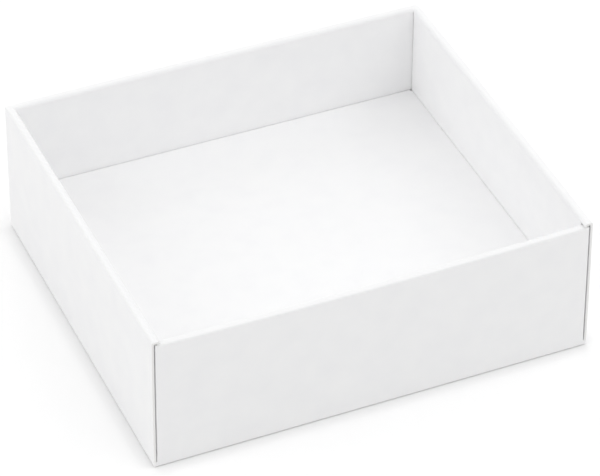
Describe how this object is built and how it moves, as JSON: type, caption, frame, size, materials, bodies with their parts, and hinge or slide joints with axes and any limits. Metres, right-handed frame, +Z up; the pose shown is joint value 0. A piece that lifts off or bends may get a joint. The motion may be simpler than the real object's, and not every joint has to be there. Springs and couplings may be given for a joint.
{
  "type": "gift box",
  "caption": "Open rectangular gift tray folded from thick white board, with rolled hollow walls, soft rims, a slightly lower front, slit corners and a raised floor that lifts out.",
  "frame": {"origin": "centre of the tray's underside, on the plane that it rests on", "axes": "+X runs along the front from left to right, +Y from front to back, +Z up towards the open top"},
  "size_m": [0.3, 0.264, 0.1],
  "materials": {
    "tray_board": "smooth matt white liner",
    "floor_board": "smooth matt white liner"
  },
  "bodies": {
    "tray": {"base_panel": "tray_board", "front_outer_wall": "tray_board", "back_outer_wall": "tray_board", "left_outer_wall": "tray_board", "right_outer_wall": "tray_board", "front_rim": "tray_board", "back_rim": "tray_board", "left_rim": "tray_board", "right_rim": "tray_board", "front_inner_wall": "tray_board", "back_inner_wall": "tray_board", "left_inner_wall": "tray_board", "right_inner_wall": "tray_board", "front_left_corner_flap": "tray_board", "front_right_corner_flap": "tray_board", "back_left_corner_flap": "tray_board", "back_right_corner_flap": "tray_board"},
    "raised_floor": {"raised_floor_panel": "floor_board", "floor_front_skirt": "floor_board", "floor_back_skirt": "floor_board", "floor_left_skirt": "floor_board", "floor_right_skirt": "floor_board", "floor_front_left_glue_tab": "floor_board", "floor_front_right_glue_tab": "floor_board", "floor_back_left_glue_tab": "floor_board", "floor_back_right_glue_tab": "floor_board"}
  },
  "joints": [
    {"name": "floor_lift", "type": "slide", "parent": "tray", "child": "raised_floor", "axis": [0, 0, 1], "range_m": [0, 0.11]}
  ]
}
